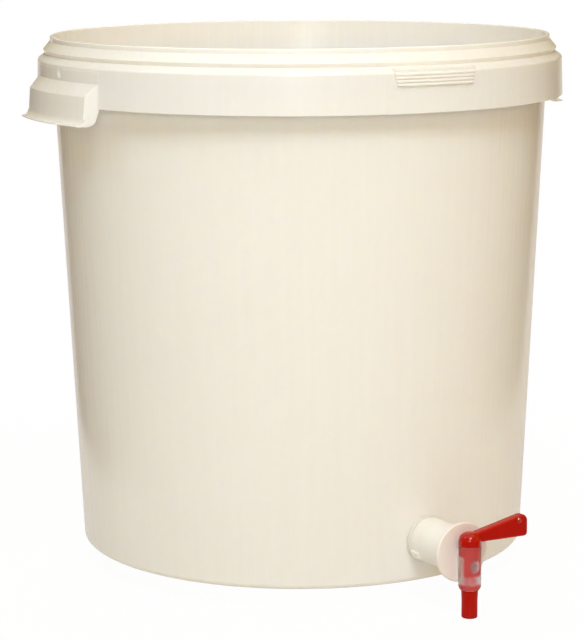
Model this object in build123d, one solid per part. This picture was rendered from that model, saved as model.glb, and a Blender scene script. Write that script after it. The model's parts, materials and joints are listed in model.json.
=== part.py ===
from build123d import *
import os
from math import asin, cos, degrees, hypot, radians, tan

# A plastic fermentation bucket with a lever tap, in millimetres and degrees.
# The origin is the middle of the base plane, +Z is up and the tap points along -Y.

# Bucket wall and base
bucket_height = 370.4
base_radius = 162.5          # outer wall, carried down to the base plane
wall_draft = 2.66            # lean of the wall on each side
wall_thickness = 2.0
base_thickness = 2.6
base_corner_radius = 4.2
foot_width = 9.0             # flat ring that the bucket stands on
foot_height = 3.0            # the base panel is lifted this far inside the ring

# Rim: straight mouth, snap bead for a lid, undercut and sloping ledge, measured down from the top
mouth_depth = 8.0            # the inside is a true cylinder over this depth
rim_step = 0.55              # rim band outside the line of the wall
rim_band_height = 3.3
rim_edge_radius = 0.9
bead_reach = 5.0             # tip of the snap bead outside the rim band
bead_drop = 9.3
undercut_depth = 1.45
ledge_drop = 12.0

# Collar skirt under the ledge
collar_reach = 3.95          # top of the skirt outside the bead tip
collar_lean = 0.8            # the skirt leans out by this much down to its lower edge
collar_drop = 15.7           # top corner of the skirt below the top of the rim
collar_height = 27.3
collar_thickness = 2.0
collar_corner_radius = 2.4
web_thickness = 2.2
rib_count = 16               # stiffening ribs between skirt and wall
rib_thickness = 1.5
rib_recess = 5.0             # ribs end this far above the lower edge of the skirt

# Hand grips, hollow and open below, one on each side
moulding_turn = -3.5         # the grips and the pad are turned by this from the tap's square position
grip_width = 103.6           # between the ends, where they meet the collar
grip_end_draft = 20.0
grip_thickness = 2.0
grip_rise = 16.7             # top of the grip's slope above the lower edge of the skirt
grip_shoulder = 8.6          # foot of the slope above the lower edge of the skirt
grip_drop = 11.6             # bottom of the grip below the lower edge of the skirt
grip_reach = 7.0             # shoulder outside the lower edge of the skirt
grip_face_lean = 1.6
lip_reach = 4.8
lip_height = 3.6
lip_side = 2.6
lip_thickness = 1.3
grip_throat_radius = 5.0     # rounded lower inner corner of the grip's end walls
panel_step = 0.25            # raised panel of the skirt above the grip
panel_rise = 25.0
dimple_radius = 6.5          # ball that presses a round dimple into the panel
dimple_depth = 1.3
dimple_rise = 5.4            # middle of the dimple above the slope
dimple_shift = 3.2           # and off the middle of the grip

# Ribbed thumb pad on the collar, a quarter turn from the grips
pad_width = 63.5
pad_taper = 2.6              # each end comes in by this much at the bottom
pad_rise = 18.1              # bottom of the pad above the lower edge of the skirt
pad_height = 11.7
pad_step = 0.5
pad_corner_radius = 2.2
pad_rib_count = 4
pad_rib_pitch = 2.33
pad_rib_height = 1.0
pad_rib_slope = 0.47         # height of the slope under each rib
pad_rib_crest = 0.7          # height of the flat crest of each rib

# Tap: shank, neck and disc lie on one horizontal axis, square to the wall
tap_height = 30.0
shank_radius = 13.2
shank_bore_radius = 11.0
shank_proud = 3.0            # shank beyond the back nut
hole_clearance = 0.4
neck_radius = 15.6
neck_length = 36.3
neck_fillet = 4.2
disc_radius = 20.6
disc_thickness = 3.2
lug_reach = 1.4              # low grip lugs on the neck, next to the seal
lug_width = 6.5
lug_length = 8.5
lug_corner_radius = 1.2
lug_angle = 121.0            # from the top of the neck to the left, seen from outside

# Seals and back nut
outer_seal_radius = 16.6
outer_seal_thickness = 2.3   # on the axis, the back follows the round wall
inner_seal_radius = 18.5
inner_seal_thickness = 3.0
seal_clearance = 0.1
nut_flange_radius = 20.5
nut_flange_thickness = 2.5
nut_across_flats = 33.0
nut_thickness = 8.0
nut_clearance = 0.1

# Barrel: upright socket for the plug
barrel_radius = 7.66
barrel_height = 30.4
barrel_gap = 0.8             # barrel in front of the disc
barrel_top_rise = 6.8        # barrel top above the tap axis
barrel_chamfer = 2.0
bridge_width = 9.0           # solid bridge from disc to barrel
bridge_margin = 3.5
port_drop = 7.0              # flow port below the tap axis
port_radius = 3.5

# Plug: lever, plug and spout in one piece
plug_radius = 5.95
plug_clearance = 0.05
cap_clearance = 0.25         # under the dome, on top of the barrel
bore_radius = 3.8
bore_rise = 6.5              # bore above the middle of the port
window_width = 6.2           # oval window in the plug
window_height = 8.6
relief_depth = 0.45          # the plug seals on lands and is relieved between them
land_bottom = 3.6
land_top = 7.4
relief_ring = 6.2
front_land = 146.0           # land round the window
back_land = 100.0            # blank land that shuts the port
snap_height = 0.3            # snap ring that keeps the plug in the barrel
snap_width = 1.2
snap_clearance = 0.1
gate_radius = 0.6            # dimple of the moulding gate above the window
gate_rise = 5.4
spout_radius = 5.45          # straight end for a hose
spout_straight = 12.0
spout_root_radius = 5.8
spout_length = 19.8
dome_radius = 7.7
dome_height = 9.0
dome_edge_radius = 6.0
lever_length = 46.3
lever_thickness = 7.4
lever_gap = 2.0              # root of the lever above the barrel
lever_fall = 1.4             # the lower edge falls by this much to the tip
lever_root_height = 6.2
lever_tip_height = 16.5
lever_top_corner = 5.0
lever_low_corner = 2.6
lever_edge_radius = 1.9
pip_radius = 2.4             # low round pip on the front of the lever
pip_height = 1.0
pip_from_tip = 7.5
pip_from_top = 3.2

# Edges
edge_break = 0.8             # small edges of the tap
flat_length = 3.2            # rounded corners of turned outlines have a flat for each such length of radius
seat_gap = 0.25              # between a seal and the round wall that it is pressed on
cut_past = 1.0               # a cutting solid runs this far past what it cuts

# Places worked out from the sizes above
wall_slope = tan(radians(wall_draft))


def wall_radius(z):
    return base_radius + z * wall_slope


rim_radius = wall_radius(bucket_height) + rim_step
mouth_radius = wall_radius(bucket_height - mouth_depth) - wall_thickness
bead_radius = rim_radius + bead_reach
collar_top_radius = bead_radius + collar_reach
collar_radius = collar_top_radius + collar_lean
collar_top = bucket_height - collar_drop
collar_bottom = collar_top - collar_height
ledge_top = bucket_height - ledge_drop

neck_start = wall_radius(tap_height) + outer_seal_thickness
disc_back = neck_start + neck_length
disc_front = disc_back + disc_thickness
nut_face = wall_radius(tap_height) - wall_thickness - inner_seal_thickness
nut_end = nut_face - nut_flange_thickness - nut_thickness
barrel_distance = disc_front + barrel_gap + barrel_radius
barrel_top = tap_height + barrel_top_rise
barrel_bottom = barrel_top - barrel_height
port_height = tap_height - port_drop
socket_radius = plug_radius + plug_clearance
snap_middle = barrel_bottom + land_bottom / 2

# The tap's own frame: its Z runs out along the tap axis, its Y is up
tap_frame = Plane(origin=(0, 0, tap_height), x_dir=(1, 0, 0), z_dir=(0, -1, 0))
barrel_frame = Pos(0, -barrel_distance, 0)


def profile(corners):
    """Closed face in the XZ plane from corners given as (x, z, corner radius)."""
    outline = FilletPolyline(*[(x, z) for x, z, _ in corners], radius=[c for _, _, c in corners], close=True)
    return Plane.XZ * make_face(outline.edges())


def eased(before, corner, after, radius):
    """A corner of a turned outline, rounded by short flats."""
    back = (before - corner).normalized()
    on = (after - corner).normalized()
    half_turn = radians(90 - back.get_angle(on) / 2)
    centre = corner + (back + on).normalized() * (radius / cos(half_turn))
    start = corner + back * (radius * tan(half_turn)) - centre
    end = corner + on * (radius * tan(half_turn)) - centre
    flats = 1 + int(radius / flat_length)
    shares = [number / flats for number in range(flats + 1)]
    return [centre + (start * (1 - share) + end * share).normalized() * radius for share in shares]


def turned(corners, arc=360):
    """Solid turned about the Z axis from corners given as (r, z, corner radius)."""
    points = [Vector(r, z) for r, z, _ in corners]
    outline = []
    for number, (point, corner) in enumerate(zip(points, corners)):
        before, after = points[number - 1], points[(number + 1) % len(points)]
        outline += eased(before, point, after, corner[2]) if corner[2] else [point]
    section = Plane.XZ * Polygon(*[(point.X, point.Y) for point in outline], align=None)
    return revolve(section, axis=Axis.Z, revolution_arc=arc)


def skirt_face(z):
    """Radius of the outer face of the collar skirt at a height."""
    return collar_radius - collar_lean * (z - collar_bottom) / collar_height


def bucket_shell():
    """Wall, base, rim and collar as one thin section turned about the axis."""
    foot_radius = wall_radius(0) - base_corner_radius - foot_width
    web_low = collar_top - web_thickness
    web_high = ledge_top - web_thickness
    return turned([
        (0, foot_height, 0),
        (foot_radius - foot_height, foot_height, 0),
        (foot_radius, 0, 0),
        (wall_radius(0), 0, base_corner_radius),
        (wall_radius(web_high), web_high, 0),
        (skirt_face(web_low) - collar_thickness, web_low, 0),
        (collar_radius - collar_thickness, collar_bottom, 0),
        (collar_radius, collar_bottom, 0),
        (collar_top_radius, collar_top, collar_corner_radius),
        (bead_radius - undercut_depth, ledge_top, 0),
        (bead_radius, bucket_height - bead_drop, 0),
        (rim_radius, bucket_height - rim_band_height, 0),
        (rim_radius, bucket_height, rim_edge_radius),
        (mouth_radius, bucket_height, 0),
        (mouth_radius, bucket_height - mouth_depth, 0),
        (wall_radius(base_thickness) - wall_thickness, base_thickness, 0),
        (foot_radius, base_thickness, 0),
        (foot_radius - foot_height, foot_height + base_thickness, 0),
        (0, foot_height + base_thickness, 0),
    ])


def collar_rib():
    """One upright rib in the channel between wall and skirt, on the +X side."""
    low = collar_bottom + rib_recess
    high = collar_top - web_thickness / 2
    outline = profile([
        (wall_radius(low) - wall_thickness / 2, low, 0),
        (skirt_face(low) - collar_thickness / 2, low, 0),
        (skirt_face(high) - collar_thickness / 2, high, 0),
        (wall_radius(high) - wall_thickness / 2, high, 0),
    ])
    return extrude(outline, rib_thickness / 2, both=True)


def grip_prism(inset):
    """Tapered block in plan that bounds the grip's ends, on the +X side."""
    junction = (collar_radius ** 2 - (grip_width / 2) ** 2) ** 0.5
    far = collar_radius + grip_reach + grip_face_lean + lip_reach + cut_past
    end_slope = tan(radians(grip_end_draft))
    near_half = grip_width / 2 - inset + junction * end_slope
    far_half = grip_width / 2 - inset + (junction - far) * end_slope
    plan = Polygon((0, -near_half), (far, -far_half), (far, far_half), (0, near_half), align=None)
    low = collar_bottom - grip_drop - cut_past
    return Pos(0, 0, low) * extrude(plan, collar_top - low)


def grip_body():
    """Outside of one grip, still solid, with the raised panel above it and its flared lip."""
    slope_top = collar_bottom + grip_rise
    shoulder = collar_bottom + grip_shoulder
    bottom = collar_bottom - grip_drop
    lip_top = bottom + lip_height
    panel_top = collar_bottom + panel_rise
    shoulder_radius = collar_radius + grip_reach
    face_radius = shoulder_radius + grip_face_lean
    lip_foot = shoulder_radius + grip_face_lean * (shoulder - lip_top) / (shoulder - bottom)
    bury = collar_thickness / 2
    body = turned([
        (skirt_face(panel_top) - bury, panel_top, 0),
        (skirt_face(panel_top) + panel_step, panel_top, 0),
        (skirt_face(slope_top) + panel_step, slope_top, 0),
        (shoulder_radius, shoulder, edge_break),
        (face_radius, bottom, 0),
        (collar_radius + collar_thickness, bottom, grip_throat_radius),
        (collar_radius - bury, collar_bottom, 0),
    ])
    lip = turned([
        (face_radius - grip_thickness, lip_top, 0),
        (lip_foot, lip_top, 0),
        (face_radius + lip_reach, bottom + lip_thickness, 0),
        (face_radius + lip_reach, bottom, 0),
        (face_radius - grip_thickness, bottom, 0),
    ])
    return (body & grip_prism(0)) + (lip & grip_prism(-lip_side))


def grip_hollow():
    """Finger space inside one grip: it opens downwards and through the skirt to the wall."""
    inner_skirt = skirt_face(collar_top) - collar_thickness
    roof_run = collar_radius + grip_reach - skirt_face(collar_bottom + grip_rise)
    roof_fall = grip_rise - grip_shoulder
    roof_drop = grip_thickness * hypot(roof_run, roof_fall) / roof_run
    slope_top = collar_bottom + grip_rise - roof_drop
    shoulder = collar_bottom + grip_shoulder - roof_drop + roof_fall * grip_thickness / roof_run
    below = collar_bottom - grip_drop - 2 * cut_past
    shoulder_radius = collar_radius + grip_reach - grip_thickness
    lip_foot = collar_bottom - grip_drop + lip_height - lip_thickness
    face_radius = shoulder_radius + grip_face_lean
    hollow = turned([
        (inner_skirt, below, 0),
        (inner_skirt, slope_top, 0),
        (skirt_face(slope_top), slope_top, 0),
        (shoulder_radius, shoulder, 0),
        (face_radius, lip_foot, 0),
        (face_radius, below, 0),
    ])
    return hollow & grip_prism(grip_thickness)


def grip_dimple():
    """Ball that presses a round dimple into the panel above one grip."""
    middle = collar_bottom + grip_rise + dimple_rise
    surface = skirt_face(middle) + panel_step
    return Pos(surface - dimple_depth + dimple_radius, dimple_shift, middle) * Sphere(dimple_radius)


def thumb_pad():
    """Raised pad with horizontal saw-tooth ribs, on the +X side."""
    low = collar_bottom + pad_rise
    high = low + pad_height
    face = skirt_face(low) + pad_step
    tip = face + pad_rib_height
    bury = collar_thickness / 2
    corners = [(skirt_face(low) - bury, low, 0)]
    for rib in range(pad_rib_count):
        foot = low + rib * pad_rib_pitch
        crest = foot + pad_rib_slope
        corners += [(face, foot, 0), (tip, crest, 0), (tip, crest + pad_rib_crest, 0)]
    ribs_top = low + pad_rib_count * pad_rib_pitch
    corners += [(face, ribs_top, 0), (face, high, 0), (bead_radius - undercut_depth - bury, high, 0)]
    corners += [(skirt_face(collar_top) - bury, collar_top - web_thickness / 2, 0)]
    half = pad_width / 2
    front = Plane(origin=(bead_radius / 2, 0, 0), x_dir=(0, 1, 0), z_dir=(1, 0, 0))
    outline = FilletPolyline(
        (-half, high), (half, high), (half - pad_taper, low), (pad_taper - half, low),
        radius=[0, 0, pad_corner_radius, pad_corner_radius], close=True)
    return turned(corners) & extrude(front * make_face(outline.edges()), bead_radius)


def bucket():
    """The whole moulding: shell, ribs, two grips, thumb pad and the hole for the tap."""
    grip_places = [Rot(0, 0, moulding_turn), Rot(0, 0, moulding_turn + 180)]
    half_sector = degrees(asin(grip_width / 2 / collar_radius))
    step = 360 / rib_count
    rib_angles = [step * (number + 0.5) for number in range(rib_count)]
    clear_angles = [angle for angle in rib_angles if 90 - abs(angle % 180 - 90) > half_sector]
    body = bucket_shell() + [place * grip_body() for place in grip_places]
    body -= [place * grip_hollow() for place in grip_places]
    body -= [place * grip_dimple() for place in grip_places]
    body += [Rot(0, 0, moulding_turn + angle) * collar_rib() for angle in clear_angles]
    body += Rot(0, 0, moulding_turn - 90) * thumb_pad()
    hole = Cylinder(shank_radius + hole_clearance, base_radius, align=(Align.CENTER, Align.CENTER, Align.MIN))
    return body - tap_frame * Pos(0, 0, base_radius / 2) * hole


def wall_cone(inset):
    """Solid inside of the bucket wall, used to shape the seals to the wall."""
    low = tap_height - nut_flange_radius
    high = tap_height + nut_flange_radius
    return turned([
        (0, low, 0),
        (wall_radius(low) - inset, low, 0),
        (wall_radius(high) - inset, high, 0),
        (0, high, 0),
    ])


def washer(outer_radius):
    """Thick ring round the shank, from the nut through the wall to the neck."""
    ring = Circle(outer_radius) - Circle(shank_radius + seal_clearance)
    return tap_frame * Pos(0, 0, nut_face) * extrude(ring, neck_start - nut_face)


def outer_seal():
    """Soft washer between neck and wall, its back moulded to the wall by the nut's pull."""
    return washer(outer_seal_radius) - wall_cone(-seat_gap)


def inner_seal():
    """Soft washer between wall and back nut."""
    return washer(inner_seal_radius) & wall_cone(wall_thickness + seat_gap)


def back_nut():
    """Flanged hexagon nut on the inside end of the shank."""
    opening = Circle(shank_radius + nut_clearance)
    flange = extrude(Circle(nut_flange_radius) - opening, nut_flange_thickness)
    hexagon = RegularPolygon(nut_across_flats / 2, 6, major_radius=False)
    body = extrude(hexagon - opening, nut_thickness)
    nut = Pos(0, 0, nut_end + nut_thickness) * flange + Pos(0, 0, nut_end) * body
    return tap_frame * nut


def neck_lug(angle):
    """Rounded tab on the neck, in the tap's own frame."""
    tab = Rectangle(lug_width, neck_radius + lug_reach, align=(Align.CENTER, Align.MIN))
    tab = fillet(tab.vertices().group_by(Axis.Y)[-1], lug_corner_radius) - Circle(shank_radius)
    return Rot(0, 0, angle) * Pos(0, 0, neck_start) * extrude(tab, lug_length)


def tap_body():
    """Shank, neck, disc and barrel in one translucent moulding."""
    shank_end = nut_end - shank_proud
    neck = turned([
        (shank_bore_radius, shank_end, 0),
        (shank_radius, shank_end, 0),
        (shank_radius, neck_start, 0),
        (neck_radius, neck_start, 0),
        (neck_radius, disc_back, neck_fillet),
        (disc_radius, disc_back, 0),
        (disc_radius, disc_front, edge_break),
        (0, disc_front, 0),
        (0, disc_back, 0),
        (shank_bore_radius, disc_back, 0),
    ])
    neck += [neck_lug(lug_angle), neck_lug(lug_angle - 180)]
    body = tap_frame * neck
    barrel = turned([
        (0, barrel_bottom, 0),
        (barrel_radius - barrel_chamfer / 2, barrel_bottom, 0),
        (barrel_radius, barrel_bottom + barrel_chamfer, 0),
        (barrel_radius, barrel_top, 0),
        (0, barrel_top, 0),
    ])
    bridge_length = barrel_gap + barrel_radius + disc_thickness / 2
    bridge = Box(bridge_width, bridge_length, barrel_height - 2 * bridge_margin,
                 align=(Align.CENTER, Align.MIN, Align.CENTER))
    body += barrel_frame * barrel
    body += barrel_frame * Pos(0, 0, (barrel_top + barrel_bottom) / 2) * bridge
    body -= barrel_frame * plug_socket()
    port_start = disc_back - cut_past
    port = Cylinder(port_radius, barrel_distance - port_start, align=(Align.CENTER, Align.CENTER, Align.MIN))
    return body - tap_frame * Pos(0, -port_drop, port_start) * port


def snap_ring(gap):
    """Raised ring on the plug, or with a gap the groove that it snaps into."""
    half = snap_width / 2 + gap
    root_radius = plug_radius - relief_depth
    return turned([
        (root_radius, snap_middle - half, 0),
        (plug_radius, snap_middle - half, 0),
        (plug_radius + snap_height + gap, snap_middle, 0),
        (plug_radius, snap_middle + half, 0),
        (root_radius, snap_middle + half, 0),
    ])


def plug_socket():
    """Bore of the barrel with the groove for the snap ring, about the Z axis."""
    bore = Pos(0, 0, barrel_bottom - cut_past) * Cylinder(
        socket_radius, barrel_height + 2 * cut_past, align=(Align.CENTER, Align.CENTER, Align.MIN))
    return bore + snap_ring(snap_clearance)


def relief(low, high, start, arc):
    """Shallow recess round the plug between two heights, over an arc that starts at an angle."""
    ring = turned([
        (plug_radius - relief_depth, low, 0),
        (plug_radius + cut_past, low, 0),
        (plug_radius + cut_past, high, 0),
        (plug_radius - relief_depth, high, 0),
    ], arc)
    return Rot(0, 0, start) * ring


def lever():
    """Flat blade that widens to its tip, well rounded, with a low pip near the tip."""
    root_low = barrel_top + lever_gap
    tip_low = root_low - lever_fall
    root_top = root_low + lever_root_height
    tip_top = tip_low + lever_tip_height
    blade = extrude(profile([
        (0, root_low, 0),
        (lever_length, tip_low, lever_low_corner),
        (lever_length, tip_top, lever_top_corner),
        (0, root_top, 0),
    ]), lever_thickness / 2, both=True)
    rims = blade.faces().filter_by(Axis.Y).edges()
    blade = fillet([edge for edge in rims if edge.center().X > edge_break], lever_edge_radius)
    pip_along = lever_length - pip_from_tip
    pip_rise = root_top + (tip_top - root_top) * pip_along / lever_length - pip_from_top
    pip_depth = pip_radius - pip_height - lever_thickness / 2
    return blade + Pos(pip_along, pip_depth, pip_rise) * Sphere(pip_radius)


def tap_plug():
    """Lever, dome, plug with its window and spout, one moulding about the barrel axis."""
    tip = barrel_bottom - spout_length
    cap = barrel_top + cap_clearance
    bore_top = port_height + bore_rise
    plug = turned([
        (bore_radius, tip, 0),
        (spout_radius, tip, edge_break),
        (spout_radius, tip + spout_straight, 0),
        (spout_root_radius, barrel_bottom, 0),
        (plug_radius, barrel_bottom, 0),
        (plug_radius, cap, 0),
        (dome_radius, cap, 0),
        (dome_radius, cap + dome_height, dome_edge_radius),
        (0, cap + dome_height, 0),
        (0, bore_top, 0),
        (bore_radius, bore_top, 0),
    ])
    ring_low = barrel_bottom + land_bottom
    ring_high = ring_low + relief_ring
    lands_top = barrel_top - land_top
    side_arc = (360 - front_land - back_land) / 2
    plug -= relief(ring_low, ring_high, 0, 360)
    plug -= relief(ring_high, lands_top, -90 + front_land / 2, side_arc)
    plug -= relief(ring_high, lands_top, 90 + back_land / 2, side_arc)
    plug += snap_ring(0)
    plug += lever()
    window = Plane(origin=(0, 0, port_height), x_dir=(1, 0, 0), z_dir=(0, -1, 0))
    plug -= extrude(window * SlotOverall(window_height, window_width, rotation=90), 2 * plug_radius)
    plug -= Pos(0, -plug_radius, port_height + gate_rise) * Sphere(gate_radius)
    return barrel_frame * plug


nodes = {
    "bucket": bucket,
    "outer_seal": outer_seal,
    "inner_seal": inner_seal,
    "back_nut": back_nut,
    "tap_body": tap_body,
    "tap_plug": tap_plug,
}

os.makedirs("parts", exist_ok=True)
for name, make in nodes.items():
    export_step(make(), f"parts/{name}.step")
    print(name)
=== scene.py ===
import json
from math import asin, cos, degrees, hypot, pi, radians, sin, sqrt, tan

import bmesh
import bpy
from mathutils import Matrix, Vector


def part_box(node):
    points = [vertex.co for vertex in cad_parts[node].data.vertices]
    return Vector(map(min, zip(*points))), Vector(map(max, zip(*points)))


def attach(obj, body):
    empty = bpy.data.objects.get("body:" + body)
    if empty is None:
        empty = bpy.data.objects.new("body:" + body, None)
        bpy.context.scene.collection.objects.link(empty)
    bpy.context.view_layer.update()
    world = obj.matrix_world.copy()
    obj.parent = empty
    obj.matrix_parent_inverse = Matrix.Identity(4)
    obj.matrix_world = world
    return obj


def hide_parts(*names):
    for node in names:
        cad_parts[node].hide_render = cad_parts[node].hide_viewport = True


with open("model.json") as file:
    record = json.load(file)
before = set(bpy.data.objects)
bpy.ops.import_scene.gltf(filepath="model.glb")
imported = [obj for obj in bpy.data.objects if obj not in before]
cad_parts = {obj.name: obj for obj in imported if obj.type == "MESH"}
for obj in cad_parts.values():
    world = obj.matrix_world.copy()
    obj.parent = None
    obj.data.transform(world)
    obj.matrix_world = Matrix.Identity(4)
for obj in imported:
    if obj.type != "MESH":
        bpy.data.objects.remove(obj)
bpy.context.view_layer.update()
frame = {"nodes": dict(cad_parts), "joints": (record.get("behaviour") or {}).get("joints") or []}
print("frame loaded:", ", ".join(sorted(frame["nodes"])))

# Pieces are drawn in millimetres and brought to metres when they are finished.
toMetres = 0.001
mergeGap = 0.002              # corners nearer than this become one
cutPast = 1.0                 # a cutting shape runs this far past what it cuts
smoothBelow = 32              # edges under this angle are shaded smooth
ballSides = 32
upright = Vector((0, 0, 1))
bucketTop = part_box("bucket")[1].z / toMetres
barrelAxis = Vector(frame["joints"][0]["pos_m"]) / toMetres
barrelAway = -barrelAxis.y


# Hand tools

def leaveEdit():
    if bpy.context.mode != "OBJECT":
        bpy.ops.object.mode_set(mode="OBJECT")
    bpy.ops.object.select_all(action="DESELECT")


def only(piece):
    leaveEdit()
    piece.select_set(True)
    bpy.context.view_layer.objects.active = piece


def edit(piece):
    only(piece)
    bpy.ops.object.mode_set(mode="EDIT")
    bpy.ops.mesh.select_mode(type="VERT")
    bpy.ops.mesh.select_all(action="SELECT")


def pick(piece, kind, wanted):
    # selects the corners, edges or faces that pass a test
    bpy.ops.mesh.select_mode(type=kind)
    bpy.ops.mesh.select_all(action="DESELECT")
    mesh = bmesh.from_edit_mesh(piece.data)
    parts = {"VERT": mesh.verts, "EDGE": mesh.edges, "FACE": mesh.faces}[kind]
    for part in parts:
        if wanted(part):
            part.select_set(True)
    mesh.select_flush_mode()
    bmesh.update_edit_mesh(piece.data)


def settle(piece):
    # merges doubles, drops loose bits and turns the faces outwards
    edit(piece)
    bpy.ops.mesh.remove_doubles(threshold=mergeGap)
    bpy.ops.mesh.delete_loose()
    bpy.ops.mesh.select_all(action="SELECT")
    bpy.ops.mesh.normals_make_consistent(inside=False)
    leaveEdit()


def applyPlace(piece):
    only(piece)
    bpy.ops.object.transform_apply(location=True, rotation=True, scale=True)


def drawOutline(name, corners, start=(0, 0, 0), right=(1, 0, 0), up=(0, 0, 1)):
    # one flat face; each corner is (across, along, rounding)
    start, right, up = Vector(start), Vector(right), Vector(up)
    places = [start + right * across + up * along for across, along, _ in corners]
    leaveEdit()
    bpy.ops.mesh.primitive_plane_add(size=1)
    piece = bpy.context.object
    piece.name = name
    bpy.ops.object.mode_set(mode="EDIT")
    bpy.ops.mesh.select_mode(type="VERT")
    bpy.ops.mesh.merge(type="CENTER")
    bpy.ops.transform.translate(value=places[0])
    for here, there in zip(places, places[1:]):
        bpy.ops.mesh.extrude_vertices_move(TRANSFORM_OT_translate={"value": there - here})
    bpy.ops.mesh.select_all(action="SELECT")
    bpy.ops.mesh.edge_face_add()
    for number, (place, corner) in enumerate(zip(places, corners)):
        if corner[2] == 0:
            continue
        back = places[number - 1] - place
        on = places[(number + 1) % len(places)] - place
        slide = corner[2] * tan((pi - back.angle(on)) / 2)
        pick(piece, "VERT", lambda point: (point.co - place).length < mergeGap / 2)
        bpy.ops.mesh.bevel(
            offset=slide, segments=roundingSteps(corner[2]), affect="VERTICES", clamp_overlap=False)
    return piece


def roundingSteps(radius):
    # flats in a rounded corner
    return 3 if radius < 1 else 5 if radius < 3 else 9


def turn(piece, steps, arc=360, centre=(0, 0, 0), axis=(0, 0, 1)):
    # turns an outline about an axis; a part turn gets its two ends closed
    edit(piece)
    bpy.ops.mesh.delete(type="ONLY_FACE")
    bpy.ops.mesh.select_all(action="SELECT")
    bpy.ops.mesh.spin(steps=steps, angle=-radians(arc), center=centre, axis=axis)    # spin counts clockwise
    bpy.ops.mesh.select_all(action="SELECT")
    bpy.ops.mesh.remove_doubles(threshold=mergeGap)
    if arc < 360:
        bpy.ops.mesh.fill_holes(sides=0)
    settle(piece)
    return piece


def turnSector(piece, half, steps):
    # a part turn that is even on both sides of the outline's plane
    piece.rotation_euler.z = radians(-half)
    applyPlace(piece)
    return turn(piece, steps, 2 * half)


def oblong(half, low, high, rounding):
    # corners of an upright rectangle
    return [(-half, low, rounding), (half, low, rounding), (half, high, rounding), (-half, high, rounding)]


def slab(name, corners, thick, start=(0, 0, 0), right=(1, 0, 0), up=(0, 0, 1)):
    # a flat plate of an outline, half its thickness on each side
    out = Vector(right).cross(Vector(up))
    piece = drawOutline(name, corners, Vector(start) - out * thick / 2, right, up)
    bpy.ops.mesh.select_all(action="SELECT")
    bpy.ops.mesh.extrude_region_move(TRANSFORM_OT_translate={"value": out * thick})
    settle(piece)
    return piece


def nameAdded(name):
    # names the piece that was just added and applies its place
    piece = bpy.context.object
    piece.name = name
    applyPlace(piece)
    return piece


def rod(name, radius, start, end, sides):
    # a round bar between two points
    along = end - start
    leaveEdit()
    bpy.ops.mesh.primitive_cylinder_add(
        vertices=sides, radius=radius, depth=along.length, location=(start + end) / 2,
        rotation=upright.rotation_difference(along).to_euler())
    return nameAdded(name)


def ball(name, radius, middle):
    leaveEdit()
    bpy.ops.mesh.primitive_uv_sphere_add(
        segments=ballSides, ring_count=ballSides // 2, radius=radius, location=middle)
    return nameAdded(name)


def trim(piece, point, facing):
    # cuts away what lies outside a plane and closes the cut
    edit(piece)
    bpy.ops.mesh.bisect(plane_co=point, plane_no=facing, use_fill=True, clear_outer=True)
    settle(piece)


def roundSharp(piece, width, steps=3, sharper=30):
    edit(piece)
    bpy.ops.mesh.select_mode(type="EDGE")
    bpy.ops.mesh.select_all(action="DESELECT")
    bpy.ops.mesh.edges_select_sharp(sharpness=radians(sharper))
    bpy.ops.mesh.bevel(offset=width, segments=steps, profile=0.5, affect="EDGES", clamp_overlap=True)
    settle(piece)


def copiesAround(piece, angles):
    # copies turned about the bucket's axis, joined into one
    copies = []
    for angle in angles:
        only(piece)
        bpy.ops.object.duplicate()
        copy = bpy.context.object
        copy.rotation_euler.z = radians(angle)
        applyPlace(copy)
        copies.append(copy)
    bpy.data.objects.remove(piece)
    leaveEdit()
    for copy in copies:
        copy.select_set(True)
    bpy.context.view_layer.objects.active = copies[0]
    if len(copies) > 1:
        bpy.ops.object.join()
    return copies[0]


def combine(piece, tool, how):
    only(piece)
    change = piece.modifiers.new("combine", "BOOLEAN")
    change.operation = how
    change.solver = "EXACT"
    change.object = tool
    bpy.ops.object.modifier_apply(modifier=change.name)
    bpy.data.objects.remove(tool)


def bringToMetres(piece):
    # scales a piece to the frame's metres and shades it smooth
    piece.scale = (toMetres, toMetres, toMetres)
    applyPlace(piece)
    bpy.ops.object.shade_smooth_by_angle(angle=radians(smoothBelow))


def finishPiece(piece, name, body, node, material):
    settle(piece)
    bringToMetres(piece)
    piece.name = name
    piece.data.name = name
    even = piece.modifiers.new("evenNormals", "WEIGHTED_NORMAL")
    even.keep_sharp = True
    bpy.ops.object.modifier_apply(modifier=even.name)
    piece.data.materials.clear()
    piece.data.materials.append(material)
    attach(piece, body)
    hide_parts(node)
    print("finished", name, "with", len(piece.data.polygons), "faces")


# Camera, lamps, floor

cameraSizes = {
    "turn": -31.88,           # degrees round the bucket, from the tap's side
    "away": 1719.8,
    "high": 470.0,
    "down": 10.26,
    "roll": -0.283,
    "focalPixels": 2359.0,
    "axisPixel": (301.1, 320.3),
    "picture": (583, 640),
    "seesTo": 100.0,          # metres
}


def placeCamera():
    turnAngle, down, roll = (radians(cameraSizes[key]) for key in ("turn", "down", "roll"))
    wide, tall = cameraSizes["picture"]
    right = Vector((cos(turnAngle), sin(turnAngle), 0))
    level = Vector((-sin(turnAngle), cos(turnAngle), 0))
    ahead = level * cos(down) - upright * sin(down)
    above = level * sin(down) + upright * cos(down)
    sideways = right * cos(roll) + above * sin(roll)
    above = above * cos(roll) - right * sin(roll)
    leaveEdit()
    bpy.ops.object.camera_add(
        location=(upright * cameraSizes["high"] - level * cameraSizes["away"]) * toMetres,
        rotation=Matrix((sideways, above, -ahead)).transposed().to_euler())
    camera = bpy.context.object
    camera.name = "photoCamera"
    lens = camera.data
    lens.lens = cameraSizes["focalPixels"] * lens.sensor_width / tall
    lens.shift_x = (wide / 2 - cameraSizes["axisPixel"][0]) / tall
    lens.shift_y = (cameraSizes["axisPixel"][1] - tall / 2) / tall
    lens.clip_end = cameraSizes["seesTo"]
    bpy.context.scene.camera = camera


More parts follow.
